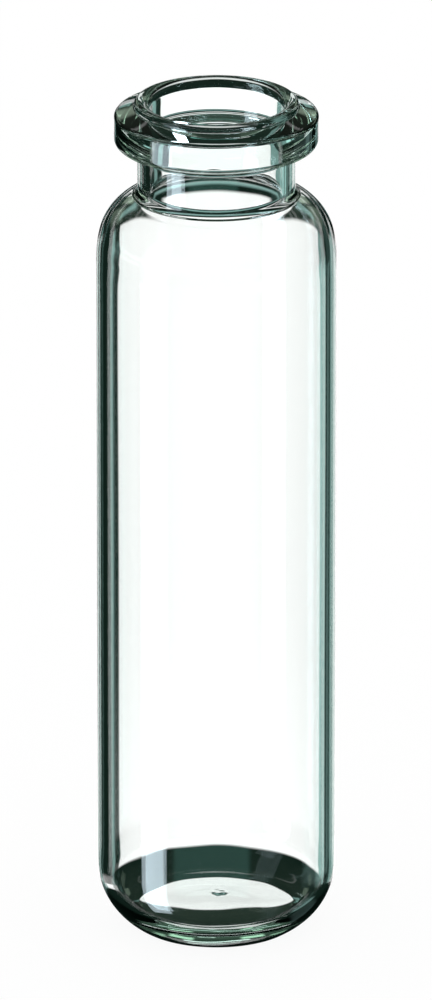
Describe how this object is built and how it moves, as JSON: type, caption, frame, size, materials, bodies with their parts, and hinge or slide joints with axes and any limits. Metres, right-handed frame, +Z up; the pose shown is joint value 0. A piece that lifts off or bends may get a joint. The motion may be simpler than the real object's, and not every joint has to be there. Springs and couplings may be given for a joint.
{
  "type": "glass sample vial",
  "caption": "Tall clear glass sample vial: straight round body with a rounded heel, short neck, and a crimp flange with a raised lip. It is open, with no cap or stopper.",
  "frame": {"origin": "centre of the base, on the axis, at the surface the vial stands on", "axes": "+Z up along the axis towards the mouth; the vial is round, so X and Y are any two directions square to it"},
  "size_m": [0.023, 0.023, 0.0835],
  "materials": {
    "glass": "clear, fire polished"
  },
  "bodies": {
    "root": {"vial": "glass"}
  },
  "joints": []
}
